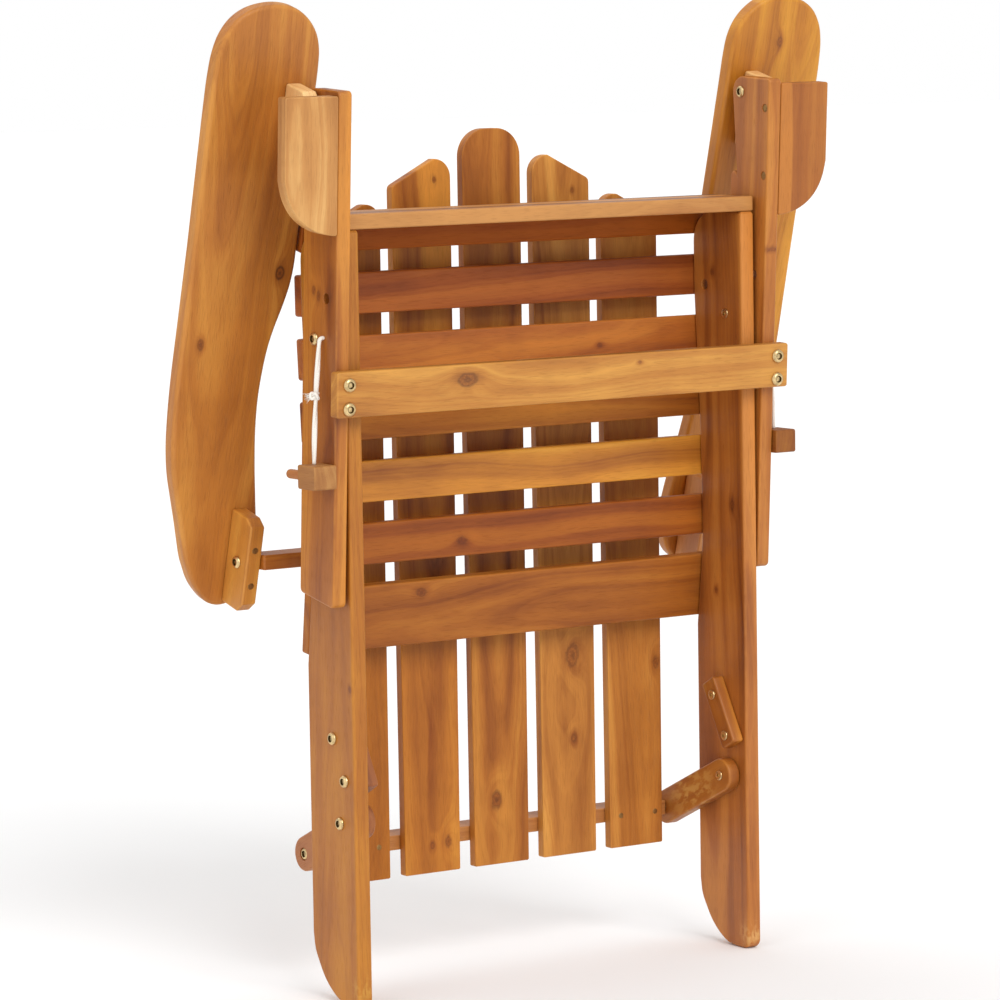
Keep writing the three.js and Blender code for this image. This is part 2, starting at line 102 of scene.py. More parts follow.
def fillet(pts, r, n=5, limit=18):
    """rounds each sharp corner of an outline"""
    out = []
    m = len(pts)
    for i in range(m):
        a, b, c = Vector(pts[i - 1]), Vector(pts[i]), Vector(pts[(i + 1) % m])
        d1, d2 = a - b, c - b
        l1, l2 = d1.length, d2.length
        if l1 < 1e-6 or l2 < 1e-6:
            continue
        d1 /= l1
        d2 /= l2
        turn = math.pi - math.acos(max(-1, min(1, d1.dot(d2))))
        if turn < limit * D2R:
            out.append(tuple(b))
            continue
        t = min(r * math.tan(turn / 2), l1 * 0.45, l2 * 0.45)
        rr = t / math.tan(turn / 2)
        s, e = b + d1 * t, b + d2 * t
        bis = (d1 + d2).normalized()
        o = b + bis * (rr / math.cos(turn / 2))
        a0 = math.atan2(s.y - o.y, s.x - o.x)
        a1 = math.atan2(e.y - o.y, e.x - o.x)
        da = (a1 - a0 + math.pi) % (2 * math.pi) - math.pi
        for k in range(n + 1):
            q = a0 + da * k / n
            out.append((o.x + rr * math.cos(q), o.y + rr * math.sin(q)))
    return out


def tidy(pts, eps=0.05):
    out = []
    for p in pts:
        if not out or (Vector(p) - Vector(out[-1])).length > eps:
            out.append((p[0], p[1]))
    if (Vector(out[0]) - Vector(out[-1])).length <= eps:
        out.pop()
    return out


def inset(pts, d):
    m = len(pts)
    out = []
    for i in range(m):
        a, b, c = Vector(pts[i - 1]), Vector(pts[i]), Vector(pts[(i + 1) % m])
        e1, e2 = (b - a).normalized(), (c - b).normalized()
        n1, n2 = Vector((-e1.y, e1.x)), Vector((-e2.y, e2.x))
        s = n1 + n2
        s = n1 if s.length < 1e-6 else s.normalized()
        out.append(tuple(b + s * (d / max(s.dot(n1), 0.45))))
    return out


# ------------------------------------------------------------------ boards
class Board:
    pass


def link_obj(name, mesh):
    o = bpy.data.objects.new(name, mesh)
    bpy.context.scene.collection.objects.link(o)
    return o


def finish_mesh(o, angle=35):
    me = o.data
    for p in me.polygons:
        p.use_smooth = True
    me.set_sharp_from_angle(angle=math.radians(angle))
    m = o.modifiers.new("weighted", "WEIGHTED_NORMAL")
    m.keep_sharp = True
    m.weight = 50


def board(name, body, outline, depth, origin, ex, ey, r, mat, holes=(), grain=(0, 1), replace=None, corner=2.0, center=None, segs=4):
    """a board whose outline lies in the plane of ex and ey and whose thickness runs along ex x ey, with rounded edges"""
    ex, ey = Vector(ex).normalized(), Vector(ey).normalized()
    ez = ex.cross(ey)
    pts = tidy(outline)
    if area2(pts) < 0:
        pts.reverse()
    if corner:
        pts = tidy(fillet(pts, max(corner, r + 0.8)))
    m = len(pts)
    rings = []
    prof = [(r + 0.7, 0.0)] + [(r * (1 - math.sin(k / segs * math.pi / 2)), r * (1 - math.cos(k / segs * math.pi / 2))) for k in range(segs + 1)]
    for d, w in prof:
        rings.append(([q for q in inset(pts, d)], w))
    for d, w in reversed(prof):
        rings.append(([q for q in inset(pts, d)], depth - w))
    verts, edge = [], []
    for q, w in rings:
        for p in q:
            verts.append((p[0], p[1], w))
    faces = []
    nr = len(rings)
    for k in range(nr - 1):
        for i in range(m):
            j = (i + 1) % m
            faces.append((k * m + i, k * m + j, (k + 1) * m + j, (k + 1) * m + i))
    hn = 28
    hole_rings = []
    for hole in holes:
        cx, cy, hr = hole[:3]
        base = len(verts)
        steps = [(hr + 0.5, 0.0), (hr, 0.5), (hr, depth - 0.5), (hr + 0.5, depth)]
        if len(hole) > 3:  # counterbore of radius R and the given depth, on side 0 or 1
            R_, deep, side_ = hole[3:]
            steps = [(R_ + 0.4, 0.0), (R_, 0.4), (R_, deep), (hr, deep), (hr, depth - 0.5), (hr + 0.5, depth)]
            if side_:
                steps = [(r_, depth - w_) for r_, w_ in reversed(steps)]
        for rr, w in steps:
            for i in range(hn):
                a = 2 * math.pi * i / hn
                verts.append((cx + rr * math.cos(a), cy + rr * math.sin(a), w))
        for k in range(len(steps) - 1):
            for i in range(hn):
                j = (i + 1) % hn
                faces.append((base + k * hn + j, base + k * hn + i, base + (k + 1) * hn + i, base + (k + 1) * hn + j))
        hole_rings.append((base, base + (len(steps) - 1) * hn))
    for side in (0, 1):
        loops, index = [], []
        first = 0 if side == 0 else (nr - 1) * m
        loops.append([Vector((verts[first + i][0], verts[first + i][1], 0)) for i in range(m)])
        index += [first + i for i in range(m)]
        for base in hole_rings:
            b = base[side]
            loops.append([Vector((verts[b + i][0], verts[b + i][1], 0)) for i in reversed(range(hn))])
            index += [b + i for i in reversed(range(hn))]
        if hole_rings:
            for t in tessellate_polygon(loops):
                a, b, c = (index[v] for v in t)
                ax, ay = verts[a][0], verts[a][1]
                cross = (verts[b][0] - ax) * (verts[c][1] - ay) - (verts[b][1] - ay) * (verts[c][0] - ax)
                if abs(cross) < 1e-9:
                    continue
                if (cross > 0) == (side == 0):
                    b, c = c, b
                faces.append((a, b, c))
        else:
            f = tuple(index)
            faces.append(tuple(reversed(f)) if side == 0 else f)
    me = bpy.data.meshes.new(name)
    o3 = Vector(origin)
    world = [W(o3 + ex * v[0] + ey * v[1] + ez * v[2]) for v in verts]
    me.from_pydata(world, [], faces)
    me.validate()
    xs, ys = [p[0] for p in pts], [p[1] for p in pts]
    c2 = center or ((min(xs) + max(xs)) / 2, (min(ys) + max(ys)) / 2)
    g = Vector(grain).normalized()
    me.attributes.new("wood", "FLOAT_VECTOR", "POINT")
    me.attributes.new("edge", "FLOAT", "POINT")
    data = []
    ed = []
    for i, v in enumerate(verts):
        u_, v_ = v[0] - c2[0], v[1] - c2[1]
        data += [(u_ * g.x + v_ * g.y) / 1000, (-u_ * g.y + v_ * g.x) / 1000, (v[2] - depth / 2) / 1000]
        if i < nr * m:
            k = i // m
            k = (k if k <= segs + 1 else nr - 1 - k) - 1
            ed.append(math.sin(max(k, 0) / segs * math.pi))
        else:
            ed.append(0.0)
    me.attributes["wood"].data.foreach_set("vector", data)
    me.attributes["edge"].data.foreach_set("value", ed)
    ob = link_obj(name, me)
    b = Board()
    b.o, b.origin, b.ex, b.ey, b.ez, b.c2, b.g, b.depth, b.body = ob, o3, ex, ey, ez, c2, g, depth, body
    b.name = name
    finish_mesh(ob)
    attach(ob, body)
    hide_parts(replace or name)
    b.spec = mat
    b.knots = []
    BOARDS[name] = b
    return b


BOARDS = {}


def place_of(b):
    """a board's grain frame: its centre in metres, then the directions along the grain, across it and through the board"""
    c = b.origin + b.ex * b.c2[0] + b.ey * b.c2[1] + b.ez * b.depth / 2
    return W(c), (b.ex * b.g.x + b.ey * b.g.y, -b.ex * b.g.y + b.ey * b.g.x, b.ez)


def local_of(b, p):
    """a point of the frame, in mm, in a board's grain coordinates, in metres"""
    d = Vector(p) - b.origin
    u, v, w = d.dot(b.ex) - b.c2[0], d.dot(b.ey) - b.c2[1], d.dot(b.ez) - b.depth / 2
    return ((u * b.g.x + v * b.g.y) / 1000, (-u * b.g.y + v * b.g.x) / 1000, w / 1000)


def plank(name, body, c, along, across, length, width, thick, r, mat, corner=2.0, replace=None):
    """a plain board by its centre"""
    along, across = Vector(along).normalized(), Vector(across).normalized()
    ez = along.cross(across)
    o = Vector(c) - along * length / 2 - across * width / 2 - ez * thick / 2
    return board(name, body, [(0, 0), (length, 0), (length, width), (0, width)], thick, o, along, across, r, mat, grain=(1, 0), corner=corner, replace=replace)


# ------------------------------------------------------------------ node helper
def lin(c):
    return tuple(((v / 255) / 12.92 if v / 255 <= 0.04045 else ((v / 255 + 0.055) / 1.055) ** 2.4) for v in c)


class Nodes:
    def __init__(s, name):
        s.m = bpy.data.materials.new(name)
        s.m.use_nodes = True
        s.t = s.m.node_tree
        s.t.nodes.clear()
        s.out = s.t.nodes.new("ShaderNodeOutputMaterial")
        s.b = s.t.nodes.new("ShaderNodeBsdfPrincipled")
        s.t.links.new(s.b.outputs[0], s.out.inputs[0])

    def put(s, sock, v):
        if isinstance(v, bpy.types.NodeSocket):
            s.t.links.new(v, sock)
        elif v is not None:
            sock.default_value = v

    def math(s, op, a, b=None, c=None, clamp=False):
        n = s.t.nodes.new("ShaderNodeMath")
        n.operation = op
        n.use_clamp = clamp
        for i, v in enumerate((a, b, c)):
            if v is not None:
                s.put(n.inputs[i], v)
        return n.outputs[0]

    def add(s, *v):
        r = v[0]
        for x in v[1:]:
            r = s.math("ADD", r, x)
        return r

    def mul(s, a, b):
        return s.math("MULTIPLY", a, b)

    def xyz(s, x, y, z):
        n = s.t.nodes.new("ShaderNodeCombineXYZ")
        for i, v in enumerate((x, y, z)):
            s.put(n.inputs[i], v)
        return n.outputs[0]

    def noise(s, vec=None, w=None, detail=0.0, rough=0.5, scale=1.0, dist=0.0):
        n = s.t.nodes.new("ShaderNodeTexNoise")
        if vec is None:
            n.noise_dimensions = "1D"
            s.put(n.inputs["W"], w)
        else:
            n.noise_dimensions = "3D"
            s.put(n.inputs["Vector"], vec)
        n.inputs["Scale"].default_value = scale
        n.inputs["Detail"].default_value = detail
        n.inputs["Roughness"].default_value = rough
        n.inputs["Distortion"].default_value = dist
        return n.outputs["Fac"]

    def smooth(s, v, a, b, lo=0.0, hi=1.0):
        n = s.t.nodes.new("ShaderNodeMapRange")
        n.interpolation_type = "SMOOTHSTEP"
        n.inputs[1].default_value, n.inputs[2].default_value = a, b
        n.inputs[3].default_value, n.inputs[4].default_value = lo, hi
        s.put(n.inputs[0], v)
        return n.outputs[0]

    def ramp(s, v, stops):
        n = s.t.nodes.new("ShaderNodeValToRGB")
        e = n.color_ramp.elements
        while len(e) < len(stops):
            e.new(0.5)
        for el_, (p, c) in zip(e, stops):
            el_.position = p
            el_.color = (*c[:3], 1)
        s.put(n.inputs[0], v)
        return n.outputs[0]

    def mix(s, f, a, b, mode="MIX"):
        n = s.t.nodes.new("ShaderNodeMix")
        n.data_type = "RGBA"
        n.blend_type = mode
        n.clamp_factor = True
        s.put(n.inputs[0], f)
        s.put(n.inputs[6], a if isinstance(a, bpy.types.NodeSocket) else (*a[:3], 1))
        s.put(n.inputs[7], b if isinstance(b, bpy.types.NodeSocket) else (*b[:3], 1))
        return n.outputs[2]

    def attr(s, name):
        n = s.t.nodes.new("ShaderNodeAttribute")
        n.attribute_type = "GEOMETRY"
        n.attribute_name = name
        return n


GAIN = 1.0


def wood(name, base, seed, place=None, py=0.0, pz=-0.05, ty=0.0, tz=0.02, low=1.0, ring=1.0, fine=1.0, streak=1.0, dark=0.5, light=1.2, red=0.0, sap=None, knots=(), warp=1.0, rough=0.5, freq=1.0, edges=1.0, worn=(), spec=0.42):
    """oiled acacia: growth rings about a pith line beside the board, bent by noise and by knots, with fibres and pores along the grain.
    base is the sRGB tone; py, pz the pith line's place in metres and ty, tz its slope along the board; sap = (across, width, strength) a pale sapwood side; worn = places (along, across, radius, strength) where the oil has gone pale"""
    g = Nodes(name)
    b = lin(base)
    rnd = random.Random(seed)
    s1, s2, s3 = rnd.uniform(0, 50), rnd.uniform(0, 50), rnd.uniform(0, 50)
    c0, axes = place
    sub = g.t.nodes.new("ShaderNodeVectorMath")
    sub.operation = "SUBTRACT"
    g.t.links.new(g.t.nodes.new("ShaderNodeTexCoord").outputs["Object"], sub.inputs[0])
    sub.inputs[1].default_value = tuple(c0)
    xyz_ = []
    for ax_ in axes:
        dn = g.t.nodes.new("ShaderNodeVectorMath")
        dn.operation = "DOT_PRODUCT"
        g.t.links.new(sub.outputs[0], dn.inputs[0])
        dn.inputs[1].default_value = tuple(ax_)
        xyz_.append(dn.outputs["Value"])
    x, y, z = xyz_
    wl = g.noise(g.xyz(g.math("MULTIPLY_ADD", x, 3.2, s1), g.math("MULTIPLY_ADD", y, 11.0, s2), g.math("MULTIPLY_ADD", z, 11.0, s3)), detail=1.0)
    wm = g.noise(g.xyz(g.math("MULTIPLY_ADD", x, 16.0, s2), g.math("MULTIPLY_ADD", y, 60.0, s3), g.math("MULTIPLY_ADD", z, 60.0, s1)), detail=2.0, rough=0.55)
    dy = g.math("SUBTRACT", g.math("SUBTRACT", y, py), g.mul(x, ty))
    dz = g.math("SUBTRACT", g.math("SUBTRACT", z, pz), g.mul(x, tz))
    R = g.math("SQRT", g.add(g.mul(dy, dy), g.mul(dz, dz)))
    R = g.add(R, g.mul(g.math("SUBTRACT", wl, 0.5), 0.030 * warp), g.mul(g.math("SUBTRACT", wm, 0.5), 0.0042 * warp))
    core = halo = rim = None
    if knots:
        kblot = g.noise(g.xyz(g.math("MULTIPLY_ADD", x, 150.0, s3), g.math("MULTIPLY_ADD", y, 190.0, s1), g.mul(z, 190.0)), detail=2.0, rough=0.6)
    for kx, ky, kr, eye in knots:
        ax, ay = g.math("SUBTRACT", x, kx), g.math("SUBTRACT", y, ky)
        ax2, ay2 = g.mul(ax, ax), g.mul(ay, ay)
        e = g.math("EXPONENT", g.add(g.mul(ax2, -1 / (5.0 * kr) ** 2), g.mul(ay2, -1 / (2.3 * kr) ** 2)))
        R = g.add(R, g.mul(e, 1.9 * kr))
        d = g.math("SQRT", g.add(g.mul(ax2, 1 / (1.45 * kr) ** 2), g.mul(ay2, 1 / kr**2)))
        d = g.add(d, g.mul(g.math("SUBTRACT", wm, 0.5), 0.9 + 1.1 * (1 - eye)), g.mul(g.math("SUBTRACT", kblot, 0.5), 1.3 * (1 - eye)))
        c_ = g.smooth(d, 1.0, 0.8)
        h_ = g.smooth(d, 3.2, 0.8)
        r1 = g.mul(g.math("SUBTRACT", d, 1.0), 1 / 0.24)
        r2 = g.mul(d, 1 / 0.30)
        r_ = g.mul(0.25 + 0.75 * eye, g.math("MAXIMUM", g.math("EXPONENT", g.mul(g.mul(r1, r1), -1.0)), g.math("EXPONENT", g.mul(g.mul(r2, r2), -1.0))))
        core = c_ if core is None else g.math("MAXIMUM", core, c_)
        halo = h_ if halo is None else g.math("MAXIMUM", halo, h_)
        rim = r_ if rim is None else g.math("MAXIMUM", rim, r_)
    t_low = g.noise(w=g.math("MULTIPLY_ADD", R, 48.0 * freq, s1), detail=1.0)
    t_ring = g.noise(w=g.math("MULTIPLY_ADD", R, 210.0 * freq, s2), detail=1.5, rough=0.6)
    t_fine = g.noise(w=g.math("MULTIPLY_ADD", R, 900.0 * freq, s3), detail=1.0, rough=0.6)
    fib = g.noise(g.xyz(g.mul(x, 22.0), g.math("MULTIPLY_ADD", y, 900.0, s1), g.mul(z, 900.0)), detail=2.5, rough=0.65)
    por = g.noise(g.xyz(g.math("MULTIPLY_ADD", x, 75.0, s2), g.mul(y, 1500.0), g.mul(z, 1500.0)), detail=0.0)
    stk = g.noise(g.xyz(g.math("MULTIPLY_ADD", x, 1.6, s3), g.math("MULTIPLY_ADD", y, 38.0, s1), g.math("MULTIPLY_ADD", z, 38.0, s2)), detail=2.0, rough=0.5)
    cld = g.noise(g.xyz(g.math("MULTIPLY_ADD", x, 7.0, s2), g.math("MULTIPLY_ADD", y, 22.0, s3), g.math("MULTIPLY_ADD", z, 22.0, s1)), detail=2.0, rough=0.5)
    fig = g.noise(g.xyz(g.math("MULTIPLY_ADD", x, 34.0, s1), g.math("MULTIPLY_ADD", y, 7.0, s3), z), detail=1.0)
    ringc = g.smooth(t_ring, 0.36, 0.66)
    tone = g.add(0.45, g.mul(g.math("SUBTRACT", t_low, 0.5), 0.85 * low), g.mul(g.math("SUBTRACT", ringc, 0.5), 0.11 * ring),
                 g.mul(g.math("SUBTRACT", t_fine, 0.5), 0.10 * fine), g.mul(g.math("SUBTRACT", stk, 0.5), 0.60 * streak), g.mul(g.math("SUBTRACT", fib, 0.5), 0.10), g.mul(g.math("SUBTRACT", cld, 0.5), 0.62))
    if halo is not None:
        tone = g.add(tone, g.mul(halo, 0.22))
    if sap:
        edge_at, wide, amount = sap[:3]
        sw = g.smooth(g.add(y, g.mul(g.math("SUBTRACT", wl, 0.5), 0.02)), edge_at - wide, edge_at + wide)
        if len(sap) > 3:
            sw = g.mul(sw, g.smooth(g.add(x, g.mul(g.math("SUBTRACT", wl, 0.5), 0.08)), sap[3], sap[4]))
        tone = g.add(tone, g.mul(sw, -amount))
    b = np.array(b) * GAIN
    sat = np.array([1.0, 1.0, 1.0])
    pale = np.minimum(b * light * np.array([1.03, 1.20, 1.40]), 0.95)
    dk = b * dark * np.array([1.08, 0.80, 0.62])
    vd = b * dark * 0.55 * np.array([1.1, 0.76, 0.56])
    col = g.ramp(tone, [(0.02, np.minimum(pale * 1.15, 0.95)), (0.24, pale), (0.46, b), (0.68, (b + dk) / 2), (0.86, dk), (1.0, vd)])
    col = g.mix(g.smooth(fig, 0.25, 0.75, 0.0, 0.14), col, (0.62, 0.56, 0.50), "MULTIPLY")
    pore = g.smooth(por, 0.60, 0.74)
    col = g.mix(g.mul(pore, 0.17), col, tuple(b * 0.30 * np.array([1, 0.8, 0.6])))
    if core is not None:
        kn = g.ramp(g.noise(g.xyz(g.mul(x, 420.0), g.mul(y, 420.0), g.mul(z, 420.0)), detail=2.0), [(0.3, b * 0.34 * np.array([1.1, 0.8, 0.65])), (0.7, b * 0.62 * np.array([1.08, 0.86, 0.75]))])
        col = g.mix(g.mul(core, 0.80), col, kn)
        col = g.mix(g.mul(rim, 0.78), col, tuple(np.array(lin((70, 34, 12))) * 0.9))
    # rounded edges lightened in noisy patches: partly worn edges, partly a painted highlight where the round-overs
    # catch light
    ed = g.attr("edge").outputs["Fac"]
    edge_wear_and_highlight = g.noise(g.xyz(g.mul(x, 60.0), g.mul(y, 60.0), g.mul(z, 60.0)), detail=2.0)
    col = g.mix(g.mul(ed, g.smooth(edge_wear_and_highlight, 0.3, 0.7, 0.12 * edges, 0.34 * edges)), col, tuple(np.minimum(b * np.array([1.45, 1.75, 2.0]), 0.95)))
    for wx, wy, wr, wk in worn:
        ax, ay = g.math("SUBTRACT", x, wx), g.math("SUBTRACT", y, wy)
        e = g.math("EXPONENT", g.mul(g.add(g.mul(ax, ax), g.mul(ay, ay)), -1 / wr**2))
        patch = g.noise(g.xyz(g.mul(x, 70.0), g.mul(y, 120.0), g.mul(z, 120.0)), detail=3.0, rough=0.6)
        col = g.mix(g.mul(g.mul(e, g.smooth(patch, 0.44, 0.60)), wk), col, tuple(np.minimum(b * np.array([1.5, 2.5, 6.0]), 0.95)))
    g.put(g.b.inputs["Base Color"], col)
    ro = g.add(rough, g.mul(g.math("SUBTRACT", tone, 0.45), -0.10), g.mul(pore, 0.15), g.mul(g.math("SUBTRACT", fib, 0.5), 0.18))
    g.put(g.b.inputs["Roughness"], ro)
    g.b.inputs["Specular IOR Level"].default_value = spec
    g.b.inputs["Coat Weight"].default_value = 0.24 * spec
    g.b.inputs["Coat Roughness"].default_value = 0.34
    bm = g.t.nodes.new("ShaderNodeBump")
    bm.inputs["Strength"].default_value = 0.35
    bm.inputs["Distance"].default_value = 0.0004
    hgt = g.add(g.mul(fib, 0.7), g.mul(pore, -0.8), g.mul(ringc, 0.35), g.mul(wm, 0.8))
    if core is not None:
        hgt = g.add(hgt, g.mul(core, -0.6))
    g.put(bm.inputs["Height"], hgt)
    g.put(g.b.inputs["Normal"], bm.outputs[0])
    return g.m


# ------------------------------------------------------------------ side rails and stop blocks
def polar(r, deg):
    return (P1[0] + r * math.sin(deg * D2R), P1[1] + r * math.cos(deg * D2R))


peg_leg, peg_rail = polar(48.5, -29.5), polar(48.5, 51.5)
oc, os_ = math.cos(28.9 * D2R), math.sin(28.9 * D2R)
bD, bN = (os_, oc), (oc, -os_)
p4d, p4n = P4[0] * bD[0] + P4[1] * bD[1], P4[0] * bN[0] + P4[1] * bN[1]
blk_far = p4n - 18.5 - 0.4
blk_near = blk_far - 24.1
d0 = p4d + 23.0
d1 = d0 + 77.7


def blkp(d, n):
    return (d * bD[0] + n * bN[0], d * bD[1] + n * bN[1])


block_bolts = [blkp(d0 + 12, blk_near + 12), blkp(d0 + 60, blk_near + 11)]

rail_pts = (arc(10, 10, 10, 180, 270, 8)
            + smooth([(25.8, 0), (40.6, 2.6), (53.8, 9.6), (68.4, 22.0), (78.2, 35.4), (86.6, 50.2), (90, 68)], 7)
            + smooth([(90, 352), (87.5, 372), (83.6, 404), (80.6, 430.5), (79.2, 446), (79.0, 452)], 4)
            + [(79.0, 497), (79.5, 518), (80.5, 562), (81.2, 584), (83.7, 628), (84.8, 650), (87.6, 694), (88.8, 716), (89.4, 761)]
            + arc(54.4, 774.5, 35, 0, 90, 18) + [(2.5, RAIL_TOP), (0, RAIL_TOP - 2.5)])
for side, s in SIDES:
    x0 = RAIL_IN if s > 0 else -RAIL_OUT
    board(f"rail_{side}", "frame", rail_pts, RAIL_T, (x0, 0, 0), (0, 1, 0), (0, 0, 1), 3.0, None,
          holes=[(*peg_rail, 5.6), (*P1, 3.4), (*P4, 3.4)] + [(*p, 3.4) for p in block_bolts], corner=0)
    bx = 228.5 if s > 0 else -243.2
    board(f"stop_block_{side}", "frame", [blkp(d0, blk_far), blkp(d1, blk_far), blkp(d1, blk_near), blkp(d0, blk_near)], 14.7, (bx, 0, 0), (0, 1, 0), (0, 0, 1), 2.4, None,
          holes=[(*p, 3.4) for p in block_bolts], grain=bD, corner=2.5)

# ------------------------------------------------------------------ apron and seat slats
plank("front_apron", "frame", (0, 38, 818), (1, 0, 0), (0, 1, 0), 522, 76, 16, 2.0, None, corner=2)
rows = [("seat_slat_1", (88.8, 782.6), (79.7, 825.2), 37.5), ("seat_slat_2", (88.8, 716.5), (89.4, 760.3), 43.8), ("seat_slat_3", (84.8, 650.5), (87.6, 694.3), 43.8),
        ("seat_slat_4", (81.2, 584.5), (83.7, 628.3), 43.8), ("seat_slat_5", (79.5, 518.4), (80.5, 562.2), 43.8), ("seat_slat_6", (79.0, 452.6), (79.0, 496.4), 43.8),
        ("seat_slat_rear", (88.8, 361.4), (80.6, 430.0), 69.0)]
slat_screws = []
for name, lo, hi, h in rows:
    L = math.hypot(hi[0] - lo[0], hi[1] - lo[1])
    u = ((hi[0] - lo[0]) / L, (hi[1] - lo[1]) / L)
    v = (u[1], -u[0])
    c = (0, lo[0] + v[0] * 7.4 + u[0] * h / 2, lo[1] + v[1] * 7.4 + u[1] * h / 2)
    plank(name, "frame", c, (1, 0, 0), (0, u[0], u[1]), 520, h, 14, 2.4, None, corner=2)
    for sx in (-1, 1):
        for f in ((-0.26, 0.26) if h < 50 else (-0.3, 0.3)):
            slat_screws.append(((sx * 252.2, c[1] + v[0] * 7 + u[0] * h * f, c[2] + v[1] * 7 + u[1] * h * f), (0, v[0], v[1]), "frame"))

# ------------------------------------------------------------------ legs
lc, ls = math.cos(LEG_TILT * D2R), math.sin(LEG_TILT * D2R)
legU, legV = Vector((0, -ls, lc)), Vector((0, lc, ls))


def legp(x, v, u):
    return Vector((x, P1[0] + v * lc - u * ls, P1[1] + v * ls + u * lc))


def to_leg(p):
    dy, dz = p[0] - P1[0], p[1] - P1[1]
    return (dy * lc + dz * ls, -dy * ls + dz * lc)


ct = math.tan(8 * D2R)
SUP_SCREWS = ((-34.6, 225.0), (-34.6, 152.0))


def footu(v):
    return LEG_FOOTU + (v - LEG_NEAR) * ct


leg_pts = (fillet([(LEG_NEAR, footu(LEG_NEAR)), (LEG_FAR, footu(LEG_FAR)), (LEG_FAR, LEG_TOPU - 17)], 6, 8)[:-1]
           + arc(LEG_FAR - 17, LEG_TOPU - 17, 17, 0, 90, 12) + arc(LEG_NEAR + 5, LEG_TOPU - 5, 5, 90, 180, 6))
for side, s in SIDES:
    x0 = LEG_IN if s > 0 else -LEG_OUT
    board(f"leg_{side}", "legs", leg_pts, LEG_T, (x0, P1[0], P1[1]), legV, legU, 2.3, None,
          holes=[(*to_leg(peg_leg), 5.6), (0, 0, 3.4), (*to_leg(P2), 3.4)] + [(v_, u_, 2.4, 4.5, 1.2, 0 if s > 0 else 1) for v_, u_ in SUP_SCREWS], corner=0)
    sup = [(LEG_OUT + GAP, 109.5)] + smooth([(288, 110.3), (303, 113.8), (315, 119.6), (325, 127.2), (333, 137), (339.5, 150.5), (343.5, 167)], 5) + [(343.5, 252), (LEG_OUT + GAP, 252)]
    o = legp(0, LEG_NEAR + 16, 0)
    board(f"arm_support_{side}", "legs", [(s * a_, b_) for a_, b_ in sup], 16, o, (1, 0, 0), legU, 1.5, None, corner=0.8)
sc = legp(0, LEG_NEAR - GAP - 7, (-76.0 - 28.5) / 2)
plank("leg_stretcher", "legs", sc, (1, 0, 0), legU, 575, 47.5, 14, 2.0, None, corner=1.5)

# ------------------------------------------------------------------ arms and cleats
arm_len = math.hypot(P2[0] - P3[0], P2[1] - P3[1])
aU = ((P2[0] - P3[0]) / arm_len, (P2[1] - P3[1]) / arm_len)
armU, armW = Vector((0, aU[0], aU[1])), Vector((0, -aU[1], aU[0]))


def armp(x, w, a):
    return Vector((x, P3[0] + a * aU[0] - w * aU[1], P3[1] + a * aU[1] + w * aU[0]))


arm_pts = (smooth([(262, 345), (262, 318), (264.4, 296), (270, 273), (277, 250), (282, 228), (285.2, 200), (286.4, 170), (284.6, 135), (280, 96), (274.5, 60), (269.6, 28), (267.4, 0), (268.6, -16.4),
                   (271.5, -31), (278.5, -44.6), (289.5, -54.2), (304, -58.1), (319, -54.2), (331.5, -43.2), (341.5, -30), (348.5, -15.5),
                   (353.5, -3.6), (358.5, 14), (365.5, 40), (373, 66), (380, 92), (384.5, 120), (387, 155), (388, 195), (387.4, 260)], 6)
           + smooth([(386.5, 340), (386.5, 490), (386, 520), (383.6, 546), (377.5, 566), (366, 582), (349, 592.5), (322, 597.5), (299, 594), (281.5, 583), (269.5, 568), (263.6, 551), (262, 532), (262, 500)], 6))
rear_pts = [(22.7, -52), (-9, -52), (-19.5, -41), (-19.5, 45), (-8, 52), (22.7, 52)]
front_pts = [(22.7, arm_len - 66), (-9, arm_len - 66), (-19.5, arm_len - 56), (-19.5, arm_len + 9), (-10, arm_len + 17), (22.7, arm_len + 17)]
for side, s in SIDES:
    board(f"arm_{side}", f"arm_{side}", [(s * a_, b_) for a_, b_ in arm_pts], 18, armp(0, -41, 0), (1, 0, 0), armU, 4.2, None, corner=0, segs=5)
    x0 = 287.0 if s > 0 else -304.0
    xf = 283.4 if s > 0 else -300.4
    board(f"rear_cleat_{side}", f"arm_{side}", rear_pts, 17, armp(x0, 0, 0), -armW, armU, 2.2, None, holes=[(0, 0, 3.4)], corner=1.5)
    board(f"front_cleat_{side}", f"arm_{side}", front_pts, 17, armp(xf, 0, 0), -armW, armU, 2.2, None, holes=[(0, arm_len, 3.4)], corner=1.5)

# ------------------------------------------------------------------ links
ld = math.atan2(P5[1] - P4[1], P5[0] - P4[0]) / D2R
link_pts = arc(P5[0], P5[1], 18.5, ld - 90, ld + 90, 24) + arc(P4[0], P4[1], 18.5, ld + 90, ld + 270, 24)
for side, s in SIDES:
    x0 = 228.4 if s > 0 else -243.1
    board(f"link_{side}", f"link_{side}", link_pts, 14.7, (x0, 0, 0), (0, 1, 0), (0, 0, 1), 2.4, None, holes=[(*P4, 3.4), (*P5, 3.4, 6.9, 3.2, 1 if s > 0 else 0)],
          grain=(P5[0] - P4[0], P5[1] - P4[1]), corner=0)

